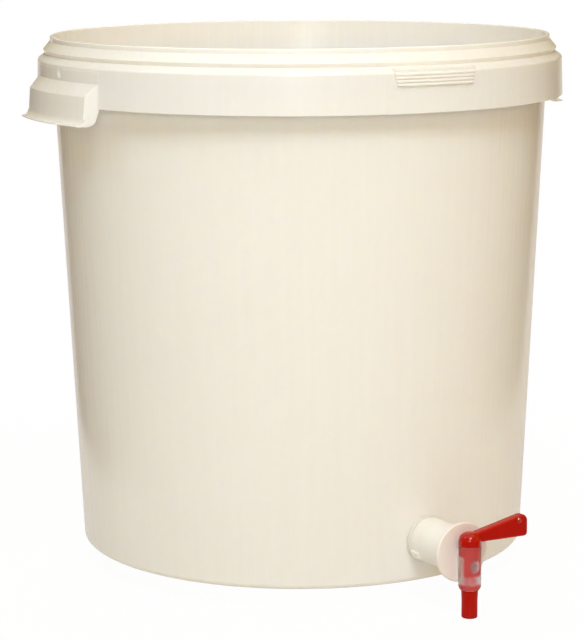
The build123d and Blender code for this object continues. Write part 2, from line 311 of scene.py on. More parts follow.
studioSizes = {"aim": (0, 0, 0.2), "around": (0.285, 0.19, 0.026, 1)}
studioLamps = {
    "key": {"turn": -24, "rise": 47, "away": 2.6, "size": 1.0, "watts": 30.2, "colour": (0.823, 0.903, 1)},
    "second": {"turn": -35, "rise": 14, "away": 2.6, "size": 0.7, "watts": 13.1, "colour": (0.976, 1, 0.969)},
    "overhead": {"turn": -32, "rise": 84, "away": 1.7, "size": 2.4, "watts": 12.4, "colour": (0.99, 1, 0.99)},
    "right": {"turn": 45, "rise": 20, "away": 2.4, "size": 1.0, "watts": 2.5, "colour": (1, 0.42, 0.12)},
    "left": {"turn": -109, "rise": 45, "away": 2.4, "size": 0.6, "watts": 5.8, "colour": (0.4, 0.614, 1)},
    "back": {"turn": 148, "rise": 40, "away": 2.4, "size": 1.2, "watts": 18, "colour": (0.88, 0.95, 1)},
}


def placeLamps():
    aim = Vector(studioSizes["aim"])
    for name, lamp in studioLamps.items():
        turnAngle, rise = radians(lamp["turn"]), radians(lamp["rise"])
        away = Vector((sin(turnAngle) * cos(rise), -cos(turnAngle) * cos(rise), sin(rise)))
        leaveEdit()
        bpy.ops.object.light_add(
            type="AREA", location=aim + away * lamp["away"], rotation=away.to_track_quat("Z", "Y").to_euler())
        light = bpy.context.object
        light.name = name + "Lamp"
        light.visible_camera = False
        light.data.shape = "DISK"
        light.data.size = lamp["size"]
        light.data.energy = lamp["watts"]
        light.data.color = lamp["colour"]
    lightWorld()


def lightWorld():
    # white where it is seen straight, and a dim warm room as light
    world = bpy.data.worlds.new("studio")
    bpy.context.scene.world = world
    world.use_nodes = True
    tree = world.node_tree
    tree.nodes.clear()
    straight = addStraight(tree, addNode(tree, "ShaderNodeLightPath"))
    shown = addNode(tree, "ShaderNodeBackground", {"Color": (1, 1, 1, 1), "Strength": 1})
    lighting = addNode(tree, "ShaderNodeBackground", {"Color": studioSizes["around"], "Strength": 1})
    mixed = addNode(tree, "ShaderNodeMixShader", {0: straight, 1: lighting.outputs[0], 2: shown.outputs[0]})
    addNode(tree, "ShaderNodeOutputWorld", {0: mixed.outputs[0]})


floorSizes = {
    "below": 14.0,            # the floor lies this far under the base, so that the spout clears it
    "wide": 60000.0,
    "plinthRadius": 152.0,
    "plinthGap": 0.1,
    "plinthEdge": 1.5,
    "plinthSteps": 128,
    "colour": (0.93, 0.92, 0.9, 1),
    "roughness": 0.9,
    "shadowNear": 0.2,        # metres from the middle: the shadow shows fully
    "shadowFar": 0.75,        # and has faded out here
    "shadowShare": 0.035,
    "bounce": 0.3,            # share of its own light that the floor throws up at the bucket
    "bounceColour": (0.448, 0.412, 0.349, 1),
    "roomColour": (0.08, 0.01, 0.002, 1),       # dim room in front, in reflections
    "sheetColour": (0.839, 0.792, 0.774, 1),
    "sheetNear": 0.445,       # half width in metres of the white sheet beside the bucket
    "sheetFar": 0.275,        # behind the bucket it widens from this
    "sheetSpread": 0.435,     # by this much in each metre
    "sheetAside": 0.075,      # its middle, to the right of the bucket
    "sheetSoft": (0.93, 1.07),        # its edge fades between these shares of its half width
    "sheetFront": (-0.25, -0.05),     # and its front between these distances, in metres
}


def layFloor():
    white = floorWhite()
    leaveEdit()
    bpy.ops.mesh.primitive_plane_add(
        size=floorSizes["wide"] * toMetres, location=(0, 0, -floorSizes["below"] * toMetres))
    floor = bpy.context.object
    floor.name = "paleFloor"
    plinth = drawOutline("palePlinth", [
        (0, -floorSizes["below"], 0),
        (floorSizes["plinthRadius"], -floorSizes["below"], 0),
        (floorSizes["plinthRadius"], -floorSizes["plinthGap"], floorSizes["plinthEdge"]),
        (0, -floorSizes["plinthGap"], 0),
    ])
    turn(plinth, floorSizes["plinthSteps"])
    bringToMetres(plinth)
    for piece in (floor, plinth):
        piece.data.materials.append(white)


# Shader helpers

def setInputs(tree, node, values):
    # each value is a plain one or another node's socket
    for socket, value in values.items():
        if isinstance(value, bpy.types.NodeSocket):
            tree.links.new(value, node.inputs[socket])
        else:
            node.inputs[socket].default_value = value
    return node


def addNode(tree, kind, values=None):
    return setInputs(tree, tree.nodes.new(kind), values or {})


def addMath(tree, operation, first, second=0):
    node = addNode(tree, "ShaderNodeMath", {0: first, 1: second})
    node.operation = operation
    return node.outputs[0]


def addMix(tree, share, first, second):
    # mixes two colours
    node = addNode(tree, "ShaderNodeMix")
    node.data_type = "RGBA"
    setInputs(tree, node, {0: share, 6: first, 7: second})
    return node.outputs[2]


def addPlace(tree):
    return addNode(tree, "ShaderNodeTexCoord").outputs["Object"]


def addNoise(tree, place, scale, detail, stretch=None):
    if stretch:
        place = addNode(tree, "ShaderNodeMapping", {"Vector": place, "Scale": stretch}).outputs["Vector"]
    noise = addNode(tree, "ShaderNodeTexNoise", {"Vector": place, "Scale": scale, "Detail": detail})
    return noise.outputs["Fac"]


noiseMiddle = 0.5


def addSway(tree, noise):
    # how far a noise lies above or below its middle
    return addMath(tree, "SUBTRACT", noise, noiseMiddle)


def addStep(tree, value, low, high, start=0.0, end=1.0):
    # a soft step of a value between two limits
    node = addNode(tree, "ShaderNodeMapRange", {
        "Value": value, "From Min": low, "From Max": high, "To Min": start, "To Max": end})
    node.interpolation_type = "SMOOTHSTEP"
    return node.outputs["Result"]


def addEdge(tree, value, middle, edges, falls=False):
    # a soft step, placed in millimetres about a middle
    low, high = ((middle + edge) * toMetres for edge in edges)
    return addStep(tree, value, low, high, 1.0, 0.0) if falls else addStep(tree, value, low, high)


def addMeasure(tree, operation, place, other=(0, 0, 0)):
    # a place's length, its distance from a point, or how far it lies along a direction
    node = addNode(tree, "ShaderNodeVectorMath", {0: place, 1: other})
    node.operation = operation
    return node.outputs["Value"]


def addStraight(tree, path):
    # 1 for rays that come straight from the camera or through the clear barrel
    return addMath(tree, "MAXIMUM", path.outputs["Is Camera Ray"], path.outputs["Is Transmission Ray"])


def axisDistance(tree, axis):
    # distance of each point from an upright axis
    flat = addNode(tree, "ShaderNodeMapping", {
        "Vector": addPlace(tree),
        "Location": (-axis.x * toMetres, -axis.y * toMetres, 0),
        "Scale": (1, 1, 0)})
    return addMeasure(tree, "LENGTH", flat.outputs["Vector"])


def newGroup(name, inputs, outputs):
    # its sockets are numbers, apart from those called Colour
    group = bpy.data.node_groups.new(name, "ShaderNodeTree")
    for side, labels in (("INPUT", inputs), ("OUTPUT", outputs)):
        for label in labels:
            kind = "NodeSocketColor" if label == "Colour" else "NodeSocketFloat"
            group.interface.new_socket(name=label, in_out=side, socket_type=kind)
    return group, group.nodes.new("NodeGroupInput"), group.nodes.new("NodeGroupOutput")


def addGroup(tree, group, values):
    node = addNode(tree, "ShaderNodeGroup")
    node.node_tree = group
    return setInputs(tree, node, values)


skinInputs = ("Colour", "Clouds", "Flow", "Roughness", "Uneven", "Lines")
skinSizes = {                 # noises as scale, detail and stretch
    "clouds": (11, 3),
    "lines": (1, 2, (190, 190, 4)),   # upright, about 5 mm apart
    "patches": (38, 4),
    "grain": (1300, 2),
    "waves": (45, 2),
    "waveHeight": 6.0,
}
scuffSizes = {
    "turns": (0.4, 1.9),
    "tilt": 0.6,
    "stretch": (1, 9, 1),
    "detail": 2,
    "thin": 0.012,
    "patches": (26, 2),
    "patchEdge": (0.56, 0.68),
}


def makeMouldedSkin():
    # cloudy tint, flow and draw lines up the moulding, uneven gloss and the fine grain of moulded plastic
    group, given, made = newGroup("mouldedSkin", skinInputs, ("Colour", "Roughness", "Height"))
    clouds, lines, patches, grain, waves = (
        addNoise(group, addPlace(group), *skinSizes[noise])
        for noise in ("clouds", "lines", "patches", "grain", "waves"))
    cloudy = addMath(group, "MULTIPLY", addSway(group, clouds), given.outputs["Clouds"])
    flowing = addMath(group, "MULTIPLY", addSway(group, lines), given.outputs["Flow"])
    level = addMath(group, "ADD", addMath(group, "ADD", cloudy, flowing), 1.0)
    tint = addNode(group, "ShaderNodeHueSaturation", {"Color": given.outputs["Colour"], "Value": level})
    gloss = addMath(group, "MULTIPLY", addSway(group, patches), given.outputs["Uneven"])
    waving = addMath(group, "MULTIPLY", waves, skinSizes["waveHeight"])
    drawn = addMath(group, "MULTIPLY", lines, given.outputs["Lines"])
    setInputs(group, made, {
        "Colour": tint.outputs["Color"],
        "Roughness": addMath(group, "ADD", gloss, given.outputs["Roughness"]),
        "Height": addMath(group, "ADD", addMath(group, "ADD", grain, waving), drawn)})
    return group


def makeScuffs():
    # short hairline scratches from handling, as a mask
    group, given, made = newGroup("scuffs", ("Scale", "Amount"), ("Mask",))
    place = addPlace(group)
    total = 0
    for turned in scuffSizes["turns"]:
        mapping = addNode(group, "ShaderNodeMapping", {
            "Vector": place,
            "Rotation": (turned, scuffSizes["tilt"], turned),
            "Scale": scuffSizes["stretch"]})
        lines = addNoise(group, mapping.outputs["Vector"], given.outputs["Scale"], scuffSizes["detail"])
        fromMiddle = addMath(group, "ABSOLUTE", addSway(group, lines))
        thin = addStep(group, fromMiddle, 0.0, scuffSizes["thin"], 1.0, 0.0)
        total = addMath(group, "MAXIMUM", total, thin)
    here = addStep(group, addNoise(group, place, *scuffSizes["patches"]), *scuffSizes["patchEdge"])
    mask = addMath(group, "MULTIPLY", total, here)
    setInputs(group, made, {"Mask": addMath(group, "MULTIPLY", mask, given.outputs["Amount"])})
    return group


mouldedSkin = makeMouldedSkin()
scuffs = makeScuffs()
plasticIndex = 1.49


def startMaterial(name):
    material = bpy.data.materials.new(name)
    material.use_nodes = True
    tree = material.node_tree
    return material, tree, tree.nodes["Principled BSDF"]


def mouldedPlastic(name, look):
    # a plastic with the moulded skin and handling scuffs; its look has a value for each of the skin's inputs
    material, tree, shader = startMaterial(name)
    skin = addGroup(tree, mouldedSkin, {label: look[label.lower()] for label in skinInputs})
    skin.name = "skin"
    marks = addGroup(tree, scuffs, {"Scale": look["scuffScale"], "Amount": look["scuffs"]}).outputs["Mask"]
    bump = addNode(tree, "ShaderNodeBump", {
        "Height": skin.outputs["Height"], "Distance": look["grain"] * toMetres, "Strength": 1.0})
    setInputs(tree, shader, {
        "Base Color": addMix(tree, marks, skin.outputs["Colour"], look["scuffColour"]),
        "Roughness": addMath(tree, "ADD", skin.outputs["Roughness"], marks),
        "Normal": bump.outputs["Normal"],
        "IOR": plasticIndex,
        **look["shader"]})
    return material


bucketLook = {
    "colour": (0.94, 0.91, 0.865, 1),
    "clouds": 0.02, "flow": 0.035, "roughness": 0.21, "uneven": 0.1, "lines": 20.0,
    "scuffScale": 9.0, "scuffs": 0.03, "scuffColour": (0.95, 0.92, 0.85, 1), "grain": 0.012,
    "shader": {
        "Subsurface Weight": 0.35, "Subsurface Radius": (1.0, 0.75, 0.45), "Subsurface Scale": 0.005},
}
nutLook = {
    "colour": (0.86, 0.84, 0.78, 1),
    "clouds": 0.03, "flow": 0.03, "roughness": 0.4, "uneven": 0.12, "lines": 0.0,
    "scuffScale": 24.0, "scuffs": 0.15, "scuffColour": (0.92, 0.91, 0.88, 1), "grain": 0.01,
    "shader": {},
}
sealLook = {
    "colour": (0.80, 0.78, 0.72, 1),
    "clouds": 0.06, "flow": 0.0, "roughness": 0.62, "uneven": 0.16, "lines": 0.0,
    "scuffScale": 30.0, "scuffs": 0.1, "scuffColour": (0.86, 0.85, 0.8, 1), "grain": 0.03,
    "shader": {},
}
tapLook = {
    # the second colour and its share are a painted red glow near the plug
    "colour": (0.93, 0.91, 0.865, 1), "paintedRedGlow": (0.9, 0.79, 0.755, 1), "paintedRedGlowShare": 0.7,
    "clouds": 0.05, "flow": 0.03, "roughness": 0.34, "uneven": 0.12, "lines": 0.0,
    "scuffScale": 30.0, "scuffs": 0.1, "scuffColour": (0.95, 0.94, 0.92, 1), "grain": 0.006,
    "shader": {
        "Subsurface Weight": 0.35, "Subsurface Radius": (1.0, 0.7, 0.5), "Subsurface Scale": 0.004},
}
barrelLook = {
    "colour": (0.97, 0.93, 0.91, 1),
    "clouds": 0.03, "flow": 0.03, "roughness": 0.44, "uneven": 0.1, "lines": 0.0,
    "scuffScale": 30.0, "scuffs": 0.1, "scuffColour": (0.97, 0.95, 0.94, 1), "grain": 0.004,
    "shader": {"Transmission Weight": 0.97},
}
plugLook = {
    "colour": (0.455, 0.0075, 0.0027, 1),
    "paintedLandHaze": (0.6, 0.022, 0.018, 1),     # painted haze on the parts that lie against the frosted barrel
    # painted haze in the ring groove and on the relieved sides
    "paintedRingHaze": (0.64, 0.17, 0.165, 1), "paintedSideHaze": (0.98, 0.25, 0.22, 1),
    # painted glow in the shaded bore behind the window, and painted shade in the gate dimple
    "paintedBoreGlow": (0.99, 0.52, 0.54, 1), "paintedGateShade": (0.16, 0.004, 0.002, 1),
    # mottling of the painted haze
    "mottle": (260, 2), "mottleLow": 0.35, "mottleEdge": (0.36, 0.6),
    "coverSoft": 0.4, "ringSoft": 0.5,        # softness of the tints' edges in millimetres
    "sunkEdge": (0.1, 0.3), "boreEdge": (-0.6, -0.2), "gateEdge": (0.7, 0.9), "polishEdge": (2.3, 2.6),
    "clouds": 0.06, "flow": 0.05, "roughness": 0.16, "uneven": 0.08, "lines": 0.0,
    "scuffScale": 30.0, "scuffs": 0.08, "scuffColour": (0.6, 0.08, 0.06, 1), "grain": 0.004,
    "shader": {"Specular IOR Level": 0.36, "Coat Roughness": 0.2, "Coat IOR": 2.3},
}


def milkyPlastic():
    # painted red glow: near the red plug the milky plastic is painted pinker, standing in for the plug's red
    # light showing through it
    material = mouldedPlastic("milkyPolyethylene", tapLook)
    tree = material.node_tree
    away = axisDistance(tree, barrelAxis)
    reach = barrelAway - discBack + tapSizes["disc"]
    # painted red glow, full at the barrel and fading out with distance from the barrel's axis
    paintedRedGlowMask = addStep(tree, away, tapSizes["barrel"] * toMetres, reach * toMetres, tapLook["paintedRedGlowShare"], 0.0)
    setInputs(tree, tree.nodes["skin"], {"Colour": addMix(tree, paintedRedGlowMask, tapLook["colour"], tapLook["paintedRedGlow"])})
    return material


def plugPlastic():
    # painted haze: behind the frosted barrel the plug is painted paler, standing in for the light that the
    # frosted barrel scatters: its lands a little, its reliefs and bore much more
    look = plugLook
    material = mouldedPlastic("redPlugPlastic", look)
    tree = material.node_tree
    place = addPlace(tree)
    away, high = axisDistance(tree, barrelAxis), addMeasure(tree, "DOT_PRODUCT", place, upright)

    def inBarrel(lowSoft, topSoft):
        return addMath(tree, "MULTIPLY", addEdge(tree, high, barrelLow, (0, lowSoft)),
                       addEdge(tree, high, barrelTop, (-topSoft, 0), True))

    ringHigh = barrelLow + plugSizes["landLow"] + plugSizes["reliefRing"]
    groove = plugSizes["radius"] - plugSizes["relief"]
    covered = inBarrel(look["coverSoft"], look["coverSoft"])
    middle = inBarrel(plugSizes["landLow"], plugSizes["landTop"])
    sunk = addEdge(tree, away, groove, look["sunkEdge"], True)
    speckle = addNoise(tree, place, *look["mottle"])
    mottled = addStep(tree, speckle, *look["mottleEdge"], look["mottleLow"], 1.0)
    # painted haze on the sunk reliefs inside the barrel, mottled
    paintedHazeMask = addMath(tree, "MULTIPLY", addMath(tree, "MULTIPLY", sunk, mottled), middle)
    # painted glow: the bore behind the window is painted bright pink
    inside = addMath(tree, "MULTIPLY", addEdge(tree, away, groove, look["boreEdge"], True), middle)
    # painted haze over the lands where the barrel covers them
    land = addMix(tree, covered, look["colour"], look["paintedLandHaze"])
    aboveRing = addEdge(tree, high, ringHigh, (-look["ringSoft"], look["ringSoft"]))
    relief = addMix(tree, aboveRing, look["paintedRingHaze"], look["paintedSideHaze"])
    lit = addMix(tree, inside, addMix(tree, paintedHazeMask, land, relief), look["paintedBoreGlow"])
    # painted shade: the gate dimple is painted dark
    fromGate = addMeasure(tree, "DISTANCE", place, gateMiddle * toMetres)
    tint = addMix(tree, addEdge(tree, fromGate, 0, look["gateEdge"], True), lit, look["paintedGateShade"])
    setInputs(tree, tree.nodes["skin"], {"Colour": tint})
    # a clear coat that polishes the pip alone
    fromPip = addMeasure(tree, "DISTANCE", place, pipMiddle * toMetres)
    polished = addEdge(tree, fromPip, 0, look["polishEdge"], True)
    setInputs(tree, tree.nodes["Principled BSDF"], {"Coat Weight": polished})
    return material


def floorWhite():
    material, tree, shader = startMaterial("paleFloorWhite")
    place = addPlace(tree)
    away = axisDistance(tree, Vector((0, 0, 0)))
    fade = addStep(tree, away, floorSizes["shadowNear"], floorSizes["shadowFar"], 1.0, 0.0)
    shaded = addMath(tree, "MULTIPLY", fade, floorSizes["shadowShare"])
    path = addNode(tree, "ShaderNodeLightPath")
    straight = addStraight(tree, path)
    mirrored = addMath(tree, "GREATER_THAN", path.outputs["Is Glossy Ray"], straight)
    bounced = addMath(tree, "MULTIPLY", path.outputs["Is Diffuse Ray"], floorSizes["bounce"])
    bright = addMath(tree, "MULTIPLY", addMath(tree, "SUBTRACT", 1.0, shaded), straight)
    share = addMath(tree, "MAXIMUM", addMath(tree, "MAXIMUM", bright, mirrored), bounced)
    # reflections see a white sheet that widens behind the bucket, and a dim room in front
    turnAngle = radians(cameraSizes["turn"])
    behind = addMeasure(tree, "DOT_PRODUCT", place, (-sin(turnAngle), cos(turnAngle), 0))
    aside = addMeasure(tree, "DOT_PRODUCT", place, (cos(turnAngle), sin(turnAngle), 0))
    spread = addMath(tree, "MULTIPLY", behind, floorSizes["sheetSpread"])
    wider = addMath(tree, "ADD", spread, floorSizes["sheetFar"])
    half = addMath(tree, "MAXIMUM", wider, floorSizes["sheetNear"])
    fromMiddle = addMath(tree, "ABSOLUTE", addMath(tree, "SUBTRACT", aside, floorSizes["sheetAside"]))
    within = addStep(tree, addMath(tree, "DIVIDE", fromMiddle, half), *floorSizes["sheetSoft"], 1.0, 0.0)
    sheet = addMath(tree, "MULTIPLY", within, addStep(tree, behind, *floorSizes["sheetFront"]))
    reflected = addMix(tree, sheet, floorSizes["roomColour"], floorSizes["sheetColour"])
    thrown = addMix(tree, path.outputs["Is Diffuse Ray"], (1, 1, 1, 1), floorSizes["bounceColour"])
    setInputs(tree, shader, {
        "Base Color": floorSizes["colour"], "Roughness": floorSizes["roughness"], "Specular IOR Level": 0.0})
    glow = addNode(tree, "ShaderNodeEmission", {
        "Color": addMix(tree, mirrored, thrown, reflected), "Strength": 1.0})
    mixed = addNode(tree, "ShaderNodeMixShader", {0: share, 1: shader.outputs[0], 2: glow.outputs[0]})
    setInputs(tree, tree.nodes["Material Output"], {"Surface": mixed.outputs[0]})
    return material


# Bucket

shellSizes = {
    "baseRadius": 162.5,      # outer wall, carried down to the base plane
    "draft": 2.66,
    "wall": 2.0,
    "floor": 2.6,
    "baseCorner": 4.2,
    "floorCorner": 5.0,
    "footWidth": 9.0,
    "footHeight": 3.0,
    "footEdge": 1.0,
    "panelCorner": 2.0,
    "gateRadius": 4.0,        # moulding gate under the base
    "gateProud": 0.6,
    "gateEdge": 0.3,
    "steps": 240,
    "wallRows": 15,
}
rimSizes = {
    "mouthDepth": 8.0,
    "step": 0.55,
    "bandHeight": 3.3,
    "beadReach": 5.0,
    "beadDrop": 9.3,
    "undercut": 1.45,
    "undercutCorner": 0.2,
    "ledgeDrop": 12.0,
    "beadTip": 0.45,
    "bandCorner": 0.4,
    "edge": 0.9,
    "mouthEdge": 0.7,
}
collarSizes = {
    "reach": 3.95,
    "lean": 0.8,
    "drop": 15.7,
    "height": 27.3,
    "skirt": 2.0,
    "corner": 2.4,
    "lowEdge": 0.45,
    "lowInnerEdge": 0.5,
    "web": 2.2,
    "webCorner": 1.2,
    "webRoot": 1.0,
    "ribCount": 16,
    "rib": 1.5,
    "ribRecess": 5.0,
    "mouldingTurn": -3.5,     # grips and pad are turned by this from the tap's square position
}


def wallAt(height):
    return shellSizes["baseRadius"] + height * tan(radians(shellSizes["draft"]))


rimRadius = wallAt(bucketTop) + rimSizes["step"]
mouthRadius = wallAt(bucketTop - rimSizes["mouthDepth"]) - shellSizes["wall"]
beadRadius = rimRadius + rimSizes["beadReach"]
ledgeTop = bucketTop - rimSizes["ledgeDrop"]
collarTop = bucketTop - collarSizes["drop"]
collarLow = collarTop - collarSizes["height"]
collarTopRadius = beadRadius + collarSizes["reach"]
collarRadius = collarTopRadius + collarSizes["lean"]


def skirtAt(height):
    return collarRadius - collarSizes["lean"] * (height - collarLow) / collarSizes["height"]


def bucketShell():
    footIn = shellSizes["baseRadius"] - shellSizes["baseCorner"] - shellSizes["footWidth"]
    panelEdge = footIn - shellSizes["footHeight"]
    panelTop = shellSizes["footHeight"] + shellSizes["floor"]
    webLow = collarTop - collarSizes["web"]
    webHigh = ledgeTop - collarSizes["web"]
    gateLow = shellSizes["footHeight"] - shellSizes["gateProud"]
    shell = drawOutline("shell", [
        (0, gateLow, 0),
        (shellSizes["gateRadius"], gateLow, shellSizes["gateEdge"]),
        (shellSizes["gateRadius"], shellSizes["footHeight"], shellSizes["gateEdge"]),
        (panelEdge, shellSizes["footHeight"], shellSizes["panelCorner"]),
        (footIn, 0, shellSizes["footEdge"]),
        (shellSizes["baseRadius"], 0, shellSizes["baseCorner"]),
        (wallAt(webHigh), webHigh, collarSizes["webRoot"]),
        (skirtAt(webLow) - collarSizes["skirt"], webLow, collarSizes["webCorner"]),
        (collarRadius - collarSizes["skirt"], collarLow, collarSizes["lowInnerEdge"]),
        (collarRadius, collarLow, collarSizes["lowEdge"]),
        (collarTopRadius, collarTop, collarSizes["corner"]),
        (beadRadius - rimSizes["undercut"], ledgeTop, rimSizes["undercutCorner"]),
        (beadRadius, bucketTop - rimSizes["beadDrop"], rimSizes["beadTip"]),
        (rimRadius, bucketTop - rimSizes["bandHeight"], rimSizes["bandCorner"]),
        (rimRadius, bucketTop, rimSizes["edge"]),
        (mouthRadius, bucketTop, rimSizes["mouthEdge"]),
        (mouthRadius, bucketTop - rimSizes["mouthDepth"], 0),
        (wallAt(shellSizes["floor"]) - shellSizes["wall"], shellSizes["floor"], shellSizes["floorCorner"]),
        (footIn, shellSizes["floor"], shellSizes["panelCorner"]),
        (panelEdge, panelTop, shellSizes["panelCorner"]),
        (0, panelTop, 0),
    ])
    longWall = bucketTop / 2
    bpy.ops.mesh.select_all(action="SELECT")
    bpy.ops.mesh.delete(type="ONLY_FACE")
    pick(shell, "EDGE", lambda edge: edge.calc_length() > longWall)
    bpy.ops.mesh.subdivide(number_cuts=shellSizes["wallRows"])
    return turn(shell, shellSizes["steps"])


gripSizes = {
    "width": 103.6,
    "endDraft": 20.0,
    "thick": 2.0,
    "rise": 16.7,
    "shoulder": 8.6,
    "drop": 11.6,
    "reach": 7.0,
    "faceLean": 1.6,
    "throat": 5.0,
    "slopeCorner": 0.6,
    "shoulderCorner": 1.0,
    "hollowCorner": 0.8,
    "edge": 0.6,
    "lipReach": 4.8,
    "lipSide": 2.6,
    "lipThick": 1.2,
    "lipCurve": 3.6,
    "lipFall": 0.1,
    "lipTip": (0.5, 0.4),     # rounding of its tip, above and below
    "lipBlend": 0.3,
    "lipEdge": 0.3,
    "lipEdgeSteps": 2,
    "panelStep": 0.25,
    "panelRise": 25.0,
    "dimple": 6.5,            # ball that presses a round dimple into the panel
    "dimpleDepth": 1.3,
    "dimpleRise": 5.4,
    "dimpleShift": 3.2,
    "sectorMargin": 4.0,      # degrees turned past each end, which is then trimmed
    "steps": 44,
}


def gripEnds(piece, inset):
    # trims a turned sector to the two drafted ends of the grip
    half = gripSizes["width"] / 2
    meets = sqrt(collarRadius ** 2 - half ** 2)
    lean = radians(gripSizes["endDraft"])
    for side in (-1, 1):
        trim(piece, (meets, side * (half - inset), 0), (sin(lean), side * cos(lean), 0))


def gripHalfAngle():
    return degrees(asin(gripSizes["width"] / 2 / collarRadius))


def gripSector(piece):
    return turnSector(piece, gripHalfAngle() + gripSizes["sectorMargin"], gripSizes["steps"])


def gripBody():
    slopeTop = collarLow + gripSizes["rise"]
    shoulder = collarLow + gripSizes["shoulder"]
    low = collarLow - gripSizes["drop"]
    panelTop = collarLow + gripSizes["panelRise"]
    shoulderRadius = collarRadius + gripSizes["reach"]
    faceRadius = shoulderRadius + gripSizes["faceLean"]
    buried = collarSizes["skirt"] / 2
    body = drawOutline("grip", [
        (skirtAt(panelTop) - buried, panelTop, 0),
        (skirtAt(panelTop) + gripSizes["panelStep"], panelTop, 0),
        (skirtAt(slopeTop) + gripSizes["panelStep"], slopeTop, gripSizes["slopeCorner"]),
        (shoulderRadius, shoulder, gripSizes["shoulderCorner"]),
        (faceRadius, low, 0),
        (collarRadius + gripSizes["thick"], low, gripSizes["throat"]),
        (collarRadius - buried, collarLow, 0),
    ])
    gripSector(body)
    gripEnds(body, 0)
    roundSharp(body, gripSizes["edge"])
    inside = faceRadius - gripSizes["thick"]
    lipTop = low + gripSizes["lipThick"]
    tipRadius = faceRadius + gripSizes["lipReach"]
    tipAbove, tipBelow = gripSizes["lipTip"]
    lip = drawOutline("lip", [
        (inside, lipTop + gripSizes["lipCurve"], 0),
        (faceRadius - gripSizes["lipBlend"], lipTop + gripSizes["lipCurve"], 0),
        (faceRadius, lipTop, gripSizes["lipCurve"]),
        (tipRadius, lipTop - gripSizes["lipFall"], tipAbove),
        (tipRadius, low, tipBelow),
        (inside, low, 0),
    ])
    gripSector(lip)
    gripEnds(lip, -gripSizes["lipSide"])
    roundSharp(lip, gripSizes["lipEdge"], gripSizes["lipEdgeSteps"])
    combine(body, lip, "UNION")
    return body


def gripHollow():
    innerSkirt = skirtAt(collarTop) - collarSizes["skirt"]
    thick = gripSizes["thick"]
    run = collarRadius + gripSizes["reach"] - skirtAt(collarLow + gripSizes["rise"])
    fall = gripSizes["rise"] - gripSizes["shoulder"]
    roofDrop = thick * hypot(run, fall) / run
    slopeTop = collarLow + gripSizes["rise"] - roofDrop
    shoulder = collarLow + gripSizes["shoulder"] - roofDrop + fall * thick / run
    below = collarLow - gripSizes["drop"] - 2 * cutPast
    shoulderRadius = collarRadius + gripSizes["reach"] - thick
    faceRadius = shoulderRadius + gripSizes["faceLean"]
    hollow = drawOutline("hollow", [
        (innerSkirt, below, 0),
        (innerSkirt, slopeTop, 0),
        (skirtAt(slopeTop), slopeTop, gripSizes["hollowCorner"]),
        (shoulderRadius, shoulder, gripSizes["hollowCorner"]),
        (faceRadius, collarLow - gripSizes["drop"] + gripSizes["lipThick"], 0),
        (faceRadius, below, 0),
    ])
    gripSector(hollow)
    gripEnds(hollow, thick)
    return hollow


def gripDimple():
    middle = collarLow + gripSizes["rise"] + gripSizes["dimpleRise"]
    surface = skirtAt(middle) + gripSizes["panelStep"]
    out = surface - gripSizes["dimpleDepth"] + gripSizes["dimple"]
    return ball("dimple", gripSizes["dimple"], (out, gripSizes["dimpleShift"], middle))


def collarRib():
    low = collarLow + collarSizes["ribRecess"]
    high = collarTop - collarSizes["web"] / 2
    buried = shellSizes["wall"] / 2
    return slab("collarRib", [
        (wallAt(low) - buried, low, 0),
        (skirtAt(low) - buried, low, 0),
        (skirtAt(high) - buried, high, 0),
        (wallAt(high) - buried, high, 0),
    ], collarSizes["rib"])


padSizes = {
    "width": 63.5,
    "taper": 2.6,
    "rise": 18.1,
    "height": 11.7,
    "step": 0.5,
    "corner": 2.2,
    "ribCount": 4,
    "pitch": 2.33,
    "ribHeight": 1.0,
    "slope": 0.47,
    "crest": 0.7,
    "crestEdge": (0.2, 0.3),  # rounding of each crest, below and above
    "topEdge": 0.3,
    "sectorMargin": 2.0,
    "steps": 40,
    "tearTurn": 11.0,         # tear lines on both sides of the pad
    "tearWidth": 0.4,
    "tearDepth": 0.25,
    "notch": 0.8,
    "notchReach": 20.0,       # thickness of the notch's cutter
}


def thumbPad():
    low = collarLow + padSizes["rise"]
    high = low + padSizes["height"]
    face = skirtAt(low) + padSizes["step"]
    tip = face + padSizes["ribHeight"]
    buried = collarSizes["skirt"] / 2
    crestBelow, crestAbove = padSizes["crestEdge"]
    corners = [(skirtAt(low) - buried, low, 0)]
    for rib in range(padSizes["ribCount"]):
        foot = low + rib * padSizes["pitch"]
        crest = foot + padSizes["slope"]
        corners += [(face, foot, 0), (tip, crest, crestBelow), (tip, crest + padSizes["crest"], crestAbove)]
    corners += [(face, low + padSizes["ribCount"] * padSizes["pitch"], 0), (face, high, padSizes["topEdge"])]
    corners += [(beadRadius - rimSizes["undercut"] - buried, high, 0)]
    corners += [(skirtAt(collarTop) - buried, collarTop - collarSizes["web"] / 2, 0)]
    half = padSizes["width"] / 2
    pad = drawOutline("thumbPad", corners)
    turnSector(pad, degrees(asin(half / beadRadius)) + padSizes["sectorMargin"], padSizes["steps"])
    block = slab("padBlock", [
        (-half, high + cutPast, 0),
        (half, high + cutPast, 0),
        (half - padSizes["taper"], low, padSizes["corner"]),
        (padSizes["taper"] - half, low, padSizes["corner"]),
    ], beadRadius, start=(beadRadius, 0, 0), right=(0, 1, 0))
    combine(pad, block, "INTERSECT")
    return pad


def tearLine():
    # a thin groove down the skirt, with a small notch at its lower edge
    low, high = collarLow - cutPast, collarTop - collarSizes["corner"]
    groove = slab("tearLine", [
        (skirtAt(low) - padSizes["tearDepth"], low, 0),
        (skirtAt(low) + cutPast, low, 0),
        (skirtAt(high) + cutPast, high, 0),
        (skirtAt(high) - padSizes["tearDepth"], high, 0),
    ], padSizes["tearWidth"])
    notch = padSizes["notch"]
    cut = slab("notch", [(-notch, low, 0), (notch, low, 0), (0, collarLow + notch, 0)],
               padSizes["notchReach"], start=(collarRadius, 0, 0), right=(0, 1, 0))
    combine(groove, cut, "UNION")
    return groove


